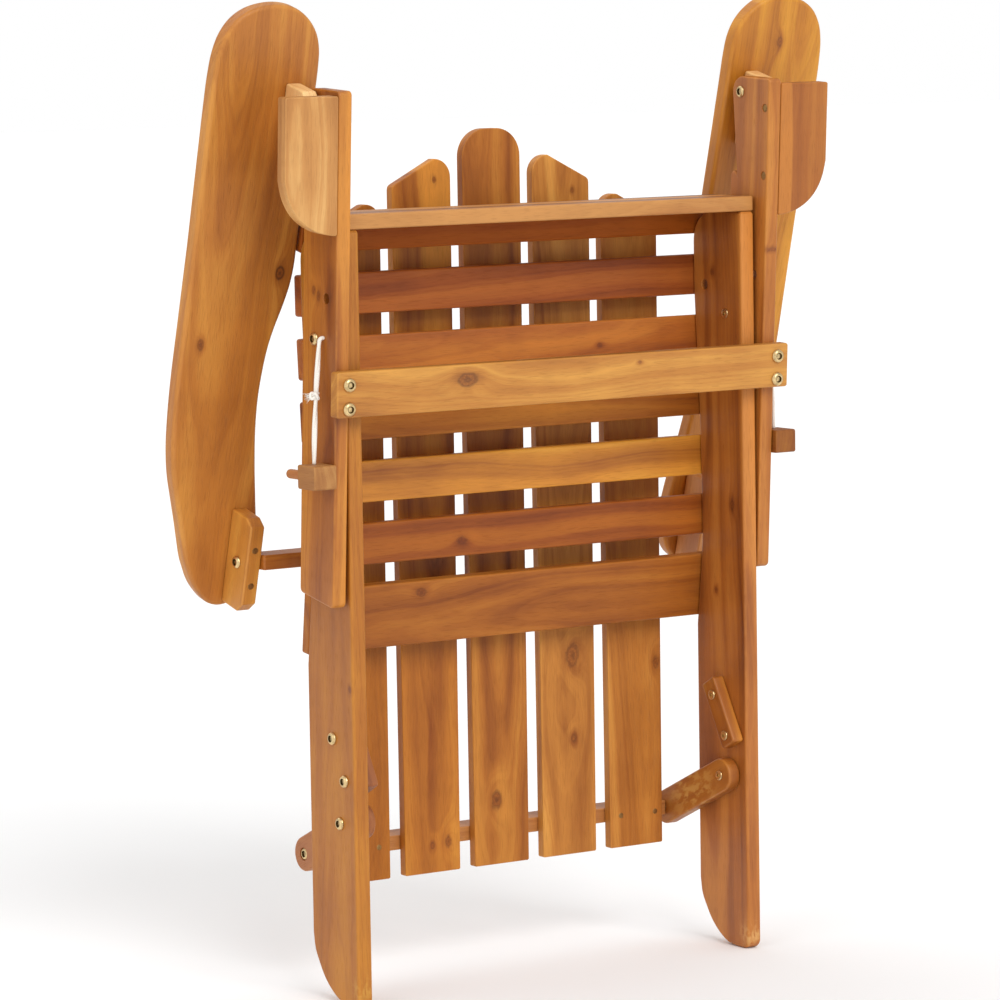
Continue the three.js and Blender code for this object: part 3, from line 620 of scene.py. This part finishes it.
# ------------------------------------------------------------------ backrest
for i in range(5):
    k = i - 2
    m_ = -1 if k < 0 else 1
    if k == 0:
        top = arc(7.1, 875, 30, 0, 90, 14) + arc(-7.1, 875, 30, 90, 180, 14)
    elif abs(k) == 1:
        top = [(37.1, 843), (36.5, 846.2), (34.1, 848.7)] + arc(-17.1, 854.5, 20, 88, 180, 12)
    else:
        top = [(37.1, 797), (36.5, 800.2), (34.1, 802.8)] + arc(-19.1, 811.2, 18, 75, 180, 12)
    pts = [(-35.1, 106.5), (35.1, 106.5), (37.1, 770)] + top + [(-37.1, 770)]
    pts = [(k * 89.6 + m_ * x_, z_) for x_, z_ in pts]
    board(f"back_slat_{i + 1}", "backrest", pts, 11.5, (0, 130.5, 0), (1, 0, 0), (0, 0, 1), 1.2, None, corner=2.0)
    for z_ in (P3[1], P5[1]):
        for dx in (-21, 21):
            if abs(k) == 2:
                slat_screws.append(((k * 89.6 + dx * (1.0 if m_ * dx < 0 else 1.2), 119.0, z_), (0, -1, 0), "backrest"))
            else:
                slat_screws.append(((k * 89.6 + dx, 166.8, z_), (0, 1, 0), "backrest"))
plank("arm_rail_back", "backrest", (0, 148.8, P3[1]), (1, 0, 0), (0, 1, 0), 573.2, 36, 16, 1.5, None)
plank("lower_rail_back", "backrest", (0, 148.8, P5[1]), (1, 0, 0), (0, 1, 0), 456, 36, 16, 1.5, None)


# ------------------------------------------------------------------ turned metal pieces
def ring_solid(name, o, d, profile, n=36, hexes=(), attrs=False):
    """a turned solid from (along, radius) pairs; rings whose index is in hexes are hexagonal"""
    d = Vector(d).normalized()
    t = Vector((0, 0, 1)) if abs(d.z) < 0.9 else Vector((1, 0, 0))
    a = d.cross(t).normalized()
    b = d.cross(a)
    verts, faces, rings, wood_at, idx = [], [], [], [], 0
    for k, (al, r) in enumerate(profile):
        if r <= 1e-6:
            rings.append([len(verts)])
            verts.append(Vector(o) + d * al)
            wood_at += [al / 1000, 0, 0]
            continue
        ids = []
        for i in range(n):
            th = 2 * math.pi * i / n
            rr = r
            if k in hexes:
                q = (th + math.pi / 6) % (math.pi / 3) - math.pi / 6
                rr = r * math.cos(math.pi / 6) / math.cos(q)
            ids.append(len(verts))
            p = a * (rr * math.cos(th)) + b * (rr * math.sin(th))
            verts.append(Vector(o) + d * al + p)
            wood_at += [al / 1000, rr * math.cos(th) / 1000, rr * math.sin(th) / 1000]
        rings.append(ids)
    for k in range(len(rings) - 1):
        r0, r1 = rings[k], rings[k + 1]
        for i in range(n):
            j = (i + 1) % n
            if len(r0) == 1:
                faces.append((r0[0], r1[i], r1[j]))
            elif len(r1) == 1:
                faces.append((r0[j], r0[i], r1[0]))
            else:
                faces.append((r0[j], r0[i], r1[i], r1[j]))
    me = bpy.data.meshes.new(name)
    me.from_pydata([W(v) for v in verts], [], faces)
    me.validate()
    me.attributes.new("edge", "FLOAT", "POINT")
    me.attributes.new("wood", "FLOAT_VECTOR", "POINT")
    me.attributes["wood"].data.foreach_set("vector", wood_at)
    import bmesh
    bm = bmesh.new()
    bm.from_mesh(me)
    bmesh.ops.recalc_face_normals(bm, faces=bm.faces)
    bm.to_mesh(me)
    bm.free()
    o_ = link_obj(name, me)
    finish_mesh(o_, 38)
    return o_


def metal(name, base, rough, dirt=0.5):
    g = Nodes(name)
    tc = g.t.nodes.new("ShaderNodeTexCoord").outputs["Object"]
    mp = g.t.nodes.new("ShaderNodeVectorMath")
    mp.operation = "SCALE"
    g.t.links.new(tc, mp.inputs[0])
    mp.inputs["Scale"].default_value = 900.0
    n1 = g.noise(mp.outputs[0], detail=3.0, rough=0.6)
    mp2 = g.t.nodes.new("ShaderNodeVectorMath")
    mp2.operation = "SCALE"
    g.t.links.new(tc, mp2.inputs[0])
    mp2.inputs["Scale"].default_value = 240.0
    n2 = g.noise(mp2.outputs[0], detail=2.0)
    b = np.array(lin(base))
    col = g.ramp(n2, [(0.3, b * 0.72), (0.55, b), (0.75, np.minimum(b * 1.2, 1))])
    col = g.mix(g.mul(g.smooth(n1, 0.5, 0.75), dirt), col, tuple(b * 0.4))
    g.put(g.b.inputs["Base Color"], col)
    g.b.inputs["Metallic"].default_value = 1.0
    g.put(g.b.inputs["Roughness"], g.add(rough, g.mul(g.math("SUBTRACT", n1, 0.5), 0.35)))
    bm = g.t.nodes.new("ShaderNodeBump")
    bm.inputs["Strength"].default_value = 0.25
    bm.inputs["Distance"].default_value = 0.0002
    g.put(bm.inputs["Height"], n1)
    g.put(g.b.inputs["Normal"], bm.outputs[0])
    return g.m


ZINC = metal("yellow_zinc", (222, 194, 142), 0.34)
STEEL = metal("screw_zinc", (158, 122, 74), 0.45)
# dark brown socket colour: painted shade inside the hex recesses of the bolt heads
SOCKET_SHADE = metal("socket_painted_shade", (84, 64, 34), 0.62)


def hexbolt(node, body, o, d, length, nut=True, head=(6.8, 3.2)):
    """furniture bolt: domed cap head with a hexagon socket, shank, and a cap nut with its own socket"""
    R, H = head
    p = [(-H + 1.7, 0), (-H + 1.7, 2.9), (-H + 0.2, 3.35), (-H, 3.7), (-H, R * 0.64), (-H * 0.92, R * 0.76), (-H * 0.62, R * 0.91), (-H * 0.3, R * 0.985), (-0.25, R), (0, R - 0.15), (0, 3.0)]
    hx = (1, 2)
    if nut:
        p += [(length, 3.0), (length, 5.2), (length + 0.3, 5.4), (length + 1.0, 5.2), (length + 1.5, 4.5), (length + 1.6, 2.6), (length + 1.5, 2.35), (length - 0.6, 2.2), (length - 0.6, 0)]
        hx = (1, 2, len(p) - 3, len(p) - 2)
    else:
        p += [(length - 0.8, 3.0), (length, 2.2), (length, 0)]
    ob = ring_solid("v_" + node, o, d, p, hexes=hx)
    ob.data.materials.append(ZINC)
    ob.data.materials.append(SOCKET_SHADE)
    for f_ in ob.data.polygons:          # the walls of the socket, one ring of 36 faces each, take the dark socket colour: painted shade in the hex recess
        if 36 <= f_.index < 108:
            f_.material_index = 1
    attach(ob, body)
    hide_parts(node)
    return ob


def screw(name, body, o, d, length=12, node=None, r=4.0):
    """countersunk screw; o is on the surface, d runs into the wood"""
    o = Vector(o)
    d = Vector(d).normalized()
    ob = ring_solid(name, o, d, [(0.12, 0), (0.12, 0.7), (0.1, r - 0.35), (0.3, r), (2.6, 2.0), (length - 3, 2.0), (length, 0.2), (length, 0)], n=28)
    ob.data.materials.append(STEEL)
    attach(ob, body)
    if node:
        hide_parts(node)
    return ob


screw_jobs = []
for side, s in SIDES:
    hexbolt(f"bolt_leg_pivot_{side}", "frame", (s * (LEG_OUT + GAP), *P1), (-s, 0, 0), LEG_OUT + GAP - RAIL_IN + GAP)
    hexbolt(f"bolt_arm_pivot_{side}", "legs", (s * (LEG_IN - GAP), *P2), (s, 0, 0), 300.4 - LEG_IN + 2 * GAP, head=(6.3, 2.0))
    hexbolt(f"bolt_arm_rail_{side}", "backrest", (s * (304 + GAP), *P3), (-s, 0, 0), 44, nut=False)
    hexbolt(f"bolt_link_pivot_{side}", "frame", (s * (RAIL_OUT + GAP), *P4), (-s, 0, 0), RAIL_OUT + GAP - 228.4 + GAP)
    for i, p in enumerate(block_bolts):
        hexbolt(f"bolt_stop_block_{side}_{i + 1}", "frame", (s * (RAIL_OUT + GAP), *p), (-s, 0, 0), RAIL_OUT + GAP - 228.5 + GAP)
    hexbolt(f"bolt_link_end_{side}", f"link_{side}", (s * 240.4, *P5), (-s, 0, 0), 11.0, nut=False, head=(6.6, 2.5))
    for i, u in enumerate((-42.0, -67.0)):
        hexbolt(f"bolt_stretcher_{side}_{i + 1}", "legs", legp(s * 273.0, LEG_NEAR - 2 * GAP - 14, u), legV, 46, nut=False, head=(7.4, 3.2))
    for i, (v, u) in enumerate(SUP_SCREWS):
        screw(f"v_screw_arm_support_{side}_{i + 1}", "legs", legp(s * (LEG_IN + 0.7), v, u), (s, 0, 0), 38, node=f"screw_arm_support_{side}_{i + 1}")
    for i, a_ in enumerate((19, -21)):
        screw(f"screw_rear_cleat_{side}_{i + 1}", f"arm_{side}", armp(s * 295.8, 19.5 + 0.34, a_), -armW, 40, r=3.6)
for i, (p, d, body) in enumerate(slat_screws):
    d = -Vector(d)
    screw(f"slat_screw_{i + 1}", body, Vector(p) - d * 0.34, d, 20, r=3.0)


# ------------------------------------------------------------------ strings and pegs
def rope_mesh(name, path, R, pitch, sides=20, strands=3, groove=0.20):
    """a twisted cord along a path of points in mm"""
    pts = [Vector(p) for p in path]
    n = len(pts)
    t = [(pts[min(i + 1, n - 1)] - pts[max(i - 1, 0)]).normalized() for i in range(n)]
    nrm = Vector((0, 1, 0)) if abs(t[0].y) < 0.9 else Vector((1, 0, 0))
    verts, faces, s_ = [], [], 0.0
    for i in range(n):
        if i:
            s_ += (pts[i] - pts[i - 1]).length
        nrm = (nrm - t[i] * nrm.dot(t[i])).normalized()
        bn = t[i].cross(nrm)
        for k in range(sides):
            th = 2 * math.pi * k / sides
            f = 1 - groove + groove * abs(math.cos(strands / 2 * (th - 2 * math.pi * s_ / pitch)))
            verts.append(W(pts[i] + (nrm * math.cos(th) + bn * math.sin(th)) * R * f))
    for i in range(n - 1):
        for k in range(sides):
            j = (k + 1) % sides
            faces.append((i * sides + k, i * sides + j, (i + 1) * sides + j, (i + 1) * sides + k))
    faces.append(tuple(reversed(range(sides))))
    faces.append(tuple((n - 1) * sides + k for k in range(sides)))
    me = bpy.data.meshes.new(name)
    me.from_pydata(verts, [], faces)
    me.validate()
    for p in me.polygons:
        p.use_smooth = True
    return link_obj(name, me)


def cotton():
    g = Nodes("cotton_string")
    tc = g.t.nodes.new("ShaderNodeTexCoord").outputs["Object"]
    sc_ = g.t.nodes.new("ShaderNodeVectorMath")
    sc_.operation = "SCALE"
    g.t.links.new(tc, sc_.inputs[0])
    sc_.inputs["Scale"].default_value = 1600.0
    n1 = g.noise(sc_.outputs[0], detail=3.0, rough=0.7)
    col = g.ramp(n1, [(0.25, lin((205, 196, 182))), (0.5, lin((238, 232, 222))), (0.8, lin((250, 247, 240)))])
    g.put(g.b.inputs["Base Color"], col)
    g.b.inputs["Roughness"].default_value = 0.95
    g.b.inputs["Sheen Weight"].default_value = 0.4
    g.b.inputs["Specular IOR Level"].default_value = 0.15
    bm = g.t.nodes.new("ShaderNodeBump")
    bm.inputs["Strength"].default_value = 0.6
    bm.inputs["Distance"].default_value = 0.0003
    g.put(bm.inputs["Height"], n1)
    g.put(g.b.inputs["Normal"], bm.outputs[0])
    return g.m


COTTON = cotton()
for side, s in SIDES:
    route = [(280.6, 700.0), (282.5, 699.9), (284.9, 698.2), (286.0, 692), (287.2, 680), (289.6, 655), (291.6, 630), (293.4, 600), (294.6, 570.8)]
    path2 = smooth(route, 12)
    path = [(s * a_, 13.0, b_) for a_, b_ in path2]
    ob = rope_mesh(f"string_{side}", path, 2.8, 120.0, sides=28, strands=2, groove=0.42)
    ob.data.materials.append(COTTON)
    L = sum((Vector(path[i]) - Vector(path[i - 1])).length for i in range(1, len(path))) / 1000
    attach(ob, f"peg_{side}")
    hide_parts(f"peg_string_{side}")
    # overhand knot half-way, with frayed ends
    c = Vector((s * 292.0, 13.0, 641.0))
    kp = []
    for i in range(97):
        th = 2 * math.pi * i / 96
        kp.append(c + Vector((s * (math.sin(th) + 2 * math.sin(2 * th)) * 1.55, (math.cos(th) - 2 * math.cos(2 * th)) * 1.55, -math.sin(3 * th) * 2.7)))
    kn = rope_mesh(f"string_knot_{side}", kp, 1.75, 9.0, sides=14)
    kn.data.materials.append(COTTON)
    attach(kn, f"peg_{side}")
    rnd = random.Random(7 if s < 0 else 11)
    verts, faces = [], []
    for q in range(46):
        base = c + Vector((rnd.uniform(-1, 1) * 1.5 + s * 2.0, rnd.uniform(-1.5, 1.5) + 2.0, rnd.uniform(-2.5, 2.5)))
        dr = Vector((s * rnd.uniform(0.1, 0.7), rnd.uniform(0.5, 1.3), rnd.uniform(-0.5, 0.35))).normalized()
        ln = rnd.uniform(5.0, 10.5)
        bend = Vector((rnd.uniform(-1, 1), rnd.uniform(-1, 1), rnd.uniform(-1.4, 0.4))) * 2.2
        a_ = dr.cross(Vector((0.3, 0.2, 1))).normalized()
        b_ = dr.cross(a_)
        start = len(verts)
        for k in range(6):
            f = k / 5
            pc = base + dr * ln * f + bend * f * f
            rr = 0.34 * (1 - 0.7 * f)
            for e in range(4):
                th = math.pi / 2 * e
                verts.append(W(pc + a_ * rr * math.cos(th) + b_ * rr * math.sin(th)))
        for k in range(5):
            for e in range(4):
                j = (e + 1) % 4
                faces.append((start + k * 4 + e, start + k * 4 + j, start + (k + 1) * 4 + j, start + (k + 1) * 4 + e))
        faces.append(tuple(start + e for e in reversed(range(4))))
        faces.append(tuple(start + 20 + e for e in range(4)))
    me = bpy.data.meshes.new(f"string_fray_{side}")
    me.from_pydata(verts, [], faces)
    me.validate()
    fr = link_obj(f"string_fray_{side}", me)
    for p in me.polygons:
        p.use_smooth = True
    fr.data.materials.append(COTTON)
    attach(fr, f"peg_{side}")
    # peg
    x0 = 281.2 if s > 0 else -308.0
    board(f"peg_handle_{side}", f"peg_{side}", [(-9.5, 545.5), (24.5, 545.5), (24.5, 570.5), (-9.5, 570.5)], 26.8, (x0, 0, 0), (0, 1, 0), (0, 0, 1), 1.5, None, grain=(1, 0), corner=2.6)
    dw = ring_solid(f"v_peg_dowel_{side}", (s * 294.6, 24.8, 557.6), (0, 1, 0), [(0, 0), (0, 5.0), (34.6, 5.0), (36.2, 4.7), (37.4, 3.9), (38.2, 2.6), (38.4, 0)], n=32)
    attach(dw, f"peg_{side}")
    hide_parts(f"peg_dowel_{side}")
    dw.data.materials.append(wood(f"wood_dowel_{side}", (176, 112, 62), 300 + s, (W((s * 294.6, 43, 557.6)), ((0, 1, 0), (1, 0, 0), (0, 0, 1))), pz=-0.02, low=0.5, rough=0.6))

# ------------------------------------------------------------------ wood of each board: tone, pith line, contrast, knots (points of the frame in mm, knot radius in mm)
TONES = {
    "rail_left": dict(base=(169, 100, 23), seed=1, py=0.02, pz=0.05, ty=0.03, low=0.7, streak=0.8, sap=(0.042, 0.003, 0.14)),
    "rail_right": dict(base=(171, 99, 34), seed=2, py=-0.03, pz=-0.04, ty=-0.05, low=1.2, streak=1.3, dark=0.42, sap=(0.041, 0.004, 0.30)),
    "front_apron": dict(base=(171, 110, 52), seed=3, py=0.05, pz=-0.03, low=1.5, streak=1.6),
    "seat_slat_1": dict(base=(145, 68, 13), seed=4, py=0.03, pz=-0.03, low=0.8, spec=0.12),
    "seat_slat_2": dict(base=(154, 77, 22), seed=5, py=-0.05, pz=-0.02, ty=0.02, low=1.0, dark=0.48, spec=0.28),
    "seat_slat_3": dict(base=(170, 92, 23), seed=6, py=0.02, pz=0.04, ty=0.02, low=1.3, streak=1.4),
    "seat_slat_4": dict(base=(158, 89, 22), seed=7, py=0.04, pz=-0.05, low=1.3, spec=0.25, streak=1.3),
    "seat_slat_5": dict(base=(203, 130, 37), seed=8, py=-0.03, pz=-0.03, ty=-0.02, low=0.9),
    "seat_slat_6": dict(base=(145, 73, 13), seed=9, py=0.05, pz=-0.03, ty=0.03, low=1.1, spec=0.3),
    "seat_slat_rear": dict(base=(160, 91, 26), seed=10, py=-0.015, pz=-0.02, ty=0.02, tz=0.05, low=1.2, spec=0.28),
    "stop_block_left": dict(base=(158, 92, 44), seed=11),
    "stop_block_right": dict(base=(166, 95, 23), seed=12, low=1.2),
    "leg_left": dict(base=(176, 105, 33), seed=13, py=0.03, pz=0.04, ty=-0.03, low=1.1, streak=1.2, sap=(0.0285, 0.003, 0.42, 0.02, 0.16)),
    "leg_right": dict(base=(176, 105, 37), seed=14, py=-0.03, pz=-0.04, ty=0.02, low=0.9),
    "leg_stretcher": dict(base=(183, 119, 45), seed=15, py=0.03, pz=-0.02, low=1.2, streak=1.3),
    "arm_support_left": dict(base=(194, 137, 76), seed=16, py=0.02, pz=-0.04, low=1.2, spec=0.3, streak=1.5),
    "arm_support_right": dict(base=(160, 91, 29), seed=17, py=0.03, pz=-0.05, ty=0.05, low=1.2, sap=(0.0150, 0.0015, 0.45), streak=1.6),
    "arm_left": dict(base=(181, 112, 39), seed=18, py=0.02, pz=-0.035, ty=0.04, tz=0.06, low=0.8, streak=0.8, edges=0.75),
    "arm_right": dict(base=(189, 119, 29), seed=19, py=-0.02, pz=-0.035, ty=-0.03, tz=0.06, low=0.8, edges=0.75),
    "rear_cleat_left": dict(base=(194, 125, 45), seed=20, low=0.8),
    "rear_cleat_right": dict(base=(190, 122, 62), seed=21, low=0.8),
    "front_cleat_left": dict(base=(226, 172, 108), seed=22, low=0.7),
    "front_cleat_right": dict(base=(226, 172, 108), seed=23, low=0.7),
    "link_left": dict(base=(164, 98, 48), seed=24),
    "link_right": dict(base=(162, 93, 25), seed=25, low=1.1),
    "back_slat_1": dict(base=(170, 99, 22), seed=26, py=0.01, pz=-0.03, ty=0.01, tz=0.03, low=0.8, spec=0.26),
    "back_slat_2": dict(base=(181, 109, 33), seed=27, py=-0.01, pz=-0.03, ty=-0.02, tz=0.04, low=1.4, streak=1.4, spec=0.26),
    "back_slat_3": dict(base=(170, 101, 33), seed=28, py=0.012, pz=-0.03, ty=0.02, tz=0.04, low=1.3, streak=1.3, spec=0.26),
    "back_slat_4": dict(base=(190, 123, 50), seed=29, py=0.0, pz=-0.022, ty=0.0, tz=0.045, low=1.5, ring=1.3, streak=1.5, spec=0.26),
    "back_slat_5": dict(base=(179, 111, 42), seed=30, py=-0.01, pz=-0.03, ty=0.02, tz=0.03, low=0.9, spec=0.26),
    "arm_rail_back": dict(base=(165, 92, 19), seed=31),
    "lower_rail_back": dict(base=(179, 115, 56), seed=32),
    "peg_handle_left": dict(base=(164, 109, 54), seed=33, low=0.6, rough=0.6),
    "peg_handle_right": dict(base=(138, 76, 15), seed=34, low=0.6, rough=0.6),
}
KNOTS = {
    "arm_left": [((-279.7, 97.7, 763.3), 4.5, 0.95), ((-366.2, 117.1, 692.0), 3.2, 0.3), ((-267.9, 163.8, 520.1), 5, 0.1)],
    "arm_right": [((325.8, 35.8, 990.8), 4), ((296.3, 67.7, 873.4), 2.5)],
    "leg_left": [((-280.3, 29.7, 748.5), 3.4, 0.1), ((-280.3, 21.1, 742.7), 3.4, 0.2)],
    "leg_stretcher": [((-128.2, -24.0, 650.2), 6.2, 0.45), ((90.4, -24.3, 656.6), 1.6)],
    "back_slat_4": [((96.9, 119.0, 326.8), 7.0, 0.3), ((104.5, 119.0, 835.1), 1.6, 0.2), ((96.0, 119.0, 235.0), 3.0, 0.0)],
    "back_slat_3": [((-6.0, 119.0, 177.0), 6.0, 0.4)],
    "back_slat_2": [((-69.5, 119.0, 139.0), 4.6, 0.15), ((-89.7, 119.0, 135.8), 2.2, 0.3), ((-73.5, 119.0, 852.1), 2.2)],
    "back_slat_5": [((208.3, 119.0, 308.9), 4)],
    "rail_right": [((243.5, 21.8, 489.1), 3.5), ((243.5, 53.8, 742.3), 2.6), ((243.5, 53.1, 392.6), 2.4)],
    "seat_slat_6": [((-71.8, 79.0, 469.9), 4)],
    "seat_slat_rear": [((-122.3, 85.0, 417.6), 3.5)],
    "seat_slat_3": [((115.7, 86.0, 667.7), 2)],
    "rail_left": [((-261.0, 5.9, 334.4), 2.2)],
    "leg_right": [((264.3, -17.0, 768.0), 1.4, 0.0)],
}
WORN = {
    "link_right": [((228.4, 88.0, 163.0), 30, 1.0), ((228.4, 60.0, 176.0), 18, 0.8)],
    "rail_right": [((250.0, 0.0, 14.0), 13, 0.95)],
    "rail_left": [((-250.0, 0.0, 20.0), 11, 0.6)],
    "stop_block_right": [((228.5, 55.0, 290.0), 14, 0.25)],
}
for name, b in BOARDS.items():
    TONES[name]["worn"] = [(*local_of(b, p)[:2], r_ / 1000, k_) for p, r_, k_ in WORN.get(name, [])]
    kn = [(*local_of(b, k[0])[:2], k[1] / 1000, k[2] if len(k) > 2 else 0.2) for k in KNOTS.get(name, [])]
    b.o.data.materials.append(wood("wood_" + name, place=place_of(b), knots=kn, **TONES[name]))

# ------------------------------------------------------------------ floor and light
fm = Nodes("floor")
fm.b.inputs["Base Color"].default_value = (0.93, 0.93, 0.93, 1)
fm.b.inputs["Roughness"].default_value = 0.9
fm.b.inputs["Specular IOR Level"].default_value = 0.1
me = bpy.data.meshes.new("floor")
me.from_pydata([(-30, -30, -0.0005), (30, -30, -0.0005), (30, 30, -0.0005), (-30, 30, -0.0005)], [], [(0, 1, 2, 3)])
floor = link_obj("floor", me)
floor.data.materials.append(fm.m)
world = bpy.data.worlds.new("studio")
bpy.context.scene.world = world
world.use_nodes = True
world.node_tree.nodes["Background"].inputs[0].default_value = (1, 1, 1, 1)
world.node_tree.nodes["Background"].inputs[1].default_value = 0.74


wt = world.node_tree
bg2 = wt.nodes.new("ShaderNodeBackground")
bg2.inputs[0].default_value = (1, 1, 1, 1)
bg2.inputs[1].default_value = 1.0
lp = wt.nodes.new("ShaderNodeLightPath")
ms = wt.nodes.new("ShaderNodeMixShader")
wt.links.new(lp.outputs["Is Camera Ray"], ms.inputs[0])
wt.links.new(wt.nodes["Background"].outputs[0], ms.inputs[1])
wt.links.new(bg2.outputs[0], ms.inputs[2])
wt.links.new(ms.outputs[0], [n for n in wt.nodes if n.type == "OUTPUT_WORLD"][0].inputs[0])


def sun(name, azimuth, elevation, strength, angle, color=(1, 1, 1)):
    """azimuth is where the light stands: 0 in front of the seat underside, positive to the left of the picture"""
    d = bpy.data.lights.new(name, "SUN")
    d.energy = strength
    d.angle = angle * D2R
    d.color = color
    o = bpy.data.objects.new(name, d)
    a, e = azimuth * D2R, elevation * D2R
    v = Vector((-math.sin(a) * math.cos(e), -math.cos(a) * math.cos(e), math.sin(e)))
    o.rotation_euler = (-v).to_track_quat("-Z", "Y").to_euler()
    o.location = v * 3
    bpy.context.scene.collection.objects.link(o)


sun("key", 4, 36, 1.5, 34)
sun("fill", 80, 25, 0.42, 50)
sun("rim", 170, 50, 0.5, 50)
bpy.context.scene.view_settings.view_transform = "Standard"
